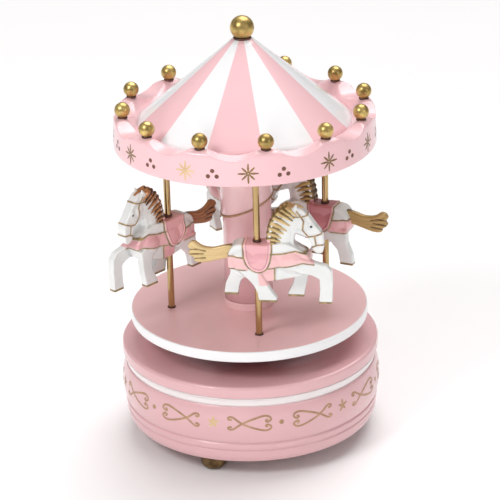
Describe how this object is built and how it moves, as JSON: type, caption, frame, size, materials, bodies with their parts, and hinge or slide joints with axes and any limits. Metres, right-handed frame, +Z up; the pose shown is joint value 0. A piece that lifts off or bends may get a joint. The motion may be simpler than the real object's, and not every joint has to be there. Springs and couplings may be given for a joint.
{
  "type": "carousel music box",
  "caption": "Painted carousel music box: horses on brass poles under a striped scalloped canopy turn on a round base that holds a spring-driven musical movement.",
  "frame": {"origin": "on the carousel's axis, on the plane that the three feet stand on", "axes": "+Z up along the carousel's axis, the front towards -Y, +X to the right"},
  "size_m": [0.1166, 0.1174, 0.1821],
  "materials": {
    "pink_paint": "glossy pale pink paint",
    "dusky_pink_paint": "glossy dusky pink paint",
    "white_paint": "glossy white paint",
    "striped_paint": "glossy paint in pink and white gores",
    "horse_paint": "glossy white paint with pink tack and gilt details",
    "antique_gold": "satin antique gold paint",
    "brass": "polished",
    "steel": "brushed",
    "cast_zinc": "as cast, satin",
    "dark_metal": "satin dark paint",
    "black_plastic": "matte",
    "raw_wood": "bare fine fibreboard"
  },
  "bodies": {
    "base": {"foot_1": "antique_gold", "foot_2": "antique_gold", "foot_3": "antique_gold", "base_drum": "pink_paint", "bottom_plate": "raw_wood", "bottom_screws": "steel", "base_ring": "white_paint", "base_lid": "pink_paint", "top_bush": "brass", "movement_bedplate": "cast_zinc", "bedplate_screws": "steel", "spring_barrel": "brass", "mainspring": "steel", "inner_bracket": "cast_zinc", "outer_bracket": "cast_zinc", "bracket_screws": "steel", "comb_rest": "cast_zinc", "tone_comb": "steel", "comb_screws": "steel"},
    "carousel": {"spindle": "steel", "crown_wheel": "brass", "turntable_hub": "black_plastic", "hub_screws": "steel", "platform_disc": "dusky_pink_paint", "column_collar": "dusky_pink_paint", "column_lower": "pink_paint", "column_sleeve": "pink_paint", "sleeve_trim": "antique_gold", "tie_rod": "steel", "canopy_ceiling": "raw_wood", "canopy_rim": "pink_paint", "canopy_roof": "striped_paint", "finial_washer": "dark_metal", "finial_ball": "antique_gold", "rim_ball_01": "antique_gold", "rim_ball_02": "antique_gold", "rim_ball_03": "antique_gold", "rim_ball_04": "antique_gold", "rim_ball_05": "antique_gold", "rim_ball_06": "antique_gold", "rim_ball_07": "antique_gold", "rim_ball_08": "antique_gold", "rim_ball_09": "antique_gold", "rim_ball_10": "antique_gold", "rim_ball_11": "antique_gold", "rim_ball_12": "antique_gold", "pole_front": "brass", "pole_right": "brass", "pole_back": "brass", "pole_left": "brass", "horse_front": "horse_paint", "horse_right": "horse_paint", "horse_back": "horse_paint", "horse_left": "horse_paint"},
    "music_cylinder": {"cylinder_arbor": "steel", "pinned_cylinder": "brass", "cylinder_pinion": "brass", "cylinder_wheel": "brass"},
    "fly": {"fly_arbor": "steel", "fly_fan": "black_plastic"}
  },
  "joints": [
    {"name": "carousel_spin", "type": "hinge", "parent": "base", "child": "carousel", "pos_m": [0, 0, 0.042], "axis": [0, 0, 1], "continuous": true},
    {"name": "cylinder_spin", "type": "hinge", "parent": "base", "child": "music_cylinder", "pos_m": [0, -0.0266, 0.02682], "axis": [0, 1, 0], "continuous": true},
    {"name": "fly_spin", "type": "hinge", "parent": "base", "child": "fly", "pos_m": [-0.008, -0.0387, 0.02682], "axis": [0, 1, 0], "continuous": true}
  ],
  "couplings": [
    {"joint": "cylinder_spin", "follows": "carousel_spin", "ratio": -4},
    {"joint": "fly_spin", "follows": "carousel_spin", "ratio": 12}
  ]
}
